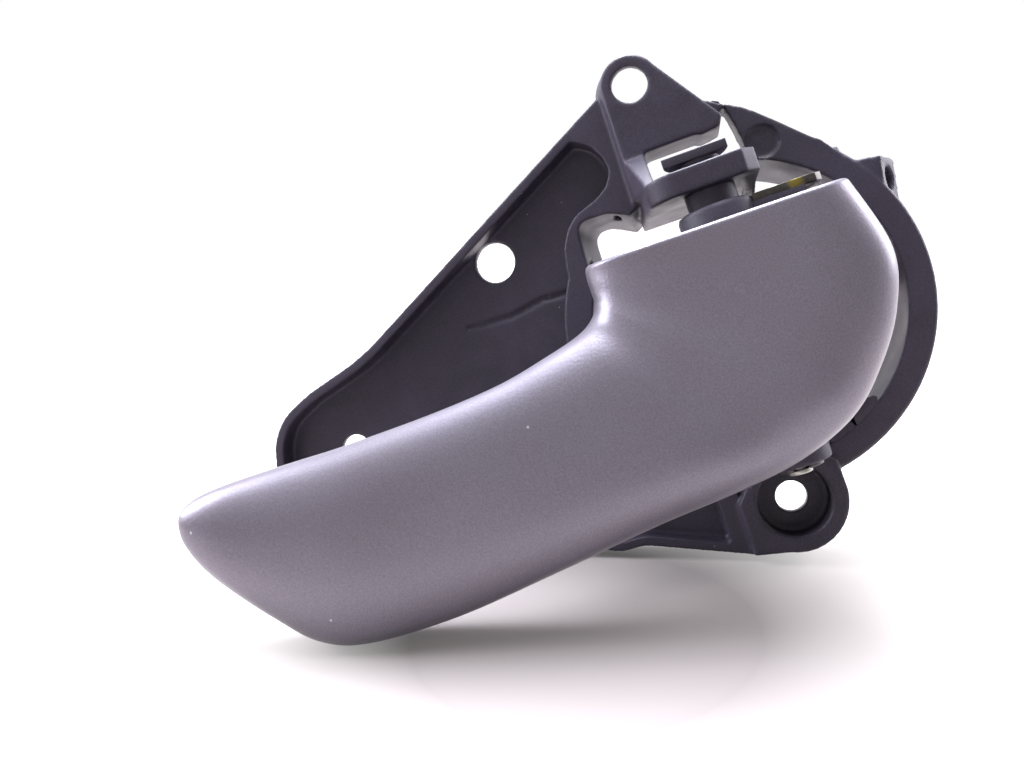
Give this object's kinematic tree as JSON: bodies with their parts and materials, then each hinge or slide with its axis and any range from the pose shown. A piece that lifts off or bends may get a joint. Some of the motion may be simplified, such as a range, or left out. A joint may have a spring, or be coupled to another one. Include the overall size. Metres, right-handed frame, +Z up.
{
  "type": "car interior door handle",
  "caption": "Interior door handle: a silver pull lever hinged on an upright pin in a black moulded frame with fixing ears, a round well and a cable-pulling arm behind.",
  "frame": {"origin": "centre of the wing's fixing hole on the door side of the frame", "axes": "+X along the lever towards the hinge end, -Y into the cabin, +Z up along the hinge pin"},
  "size_m": [0.1584, 0.0688, 0.1163],
  "materials": {
    "black_plastic": "fine grained",
    "silver_paint": "satin paint",
    "steel": "zinc plated",
    "rubber": "matte",
    "white_plastic": "plain"
  },
  "bodies": {
    "base": {"base_frame": "black_plastic", "hinge_pin": "steel", "pin_cap": "black_plastic", "pin_clip": "steel", "upper_bush": "black_plastic", "thrust_washer": "white_plastic", "closed_stop_pad": "rubber", "open_stop_pad": "rubber", "cable_anchor": "black_plastic", "return_spring": "steel"},
    "lever": {"lever_shell": "silver_paint", "lever_core": "black_plastic", "release_arm": "steel", "arm_rivets": "steel", "shell_screws": "steel"},
    "swivel": {"cable_clip": "black_plastic"}
  },
  "joints": [
    {"name": "lever_hinge", "type": "hinge", "parent": "base", "child": "lever", "pos_m": [0.0505, -0.022, 0], "axis": [0, 0, 1], "range_deg": [0, 40], "stiffness_Nm_per_rad": 0.5, "springref_deg": -25.21, "deforming": ["return_spring"]},
    {"name": "cable_swivel", "type": "hinge", "parent": "lever", "child": "swivel", "pos_m": [0.0665, -0.002, 0], "axis": [0, 0, 1], "range_deg": [-45, 5]}
  ]
}
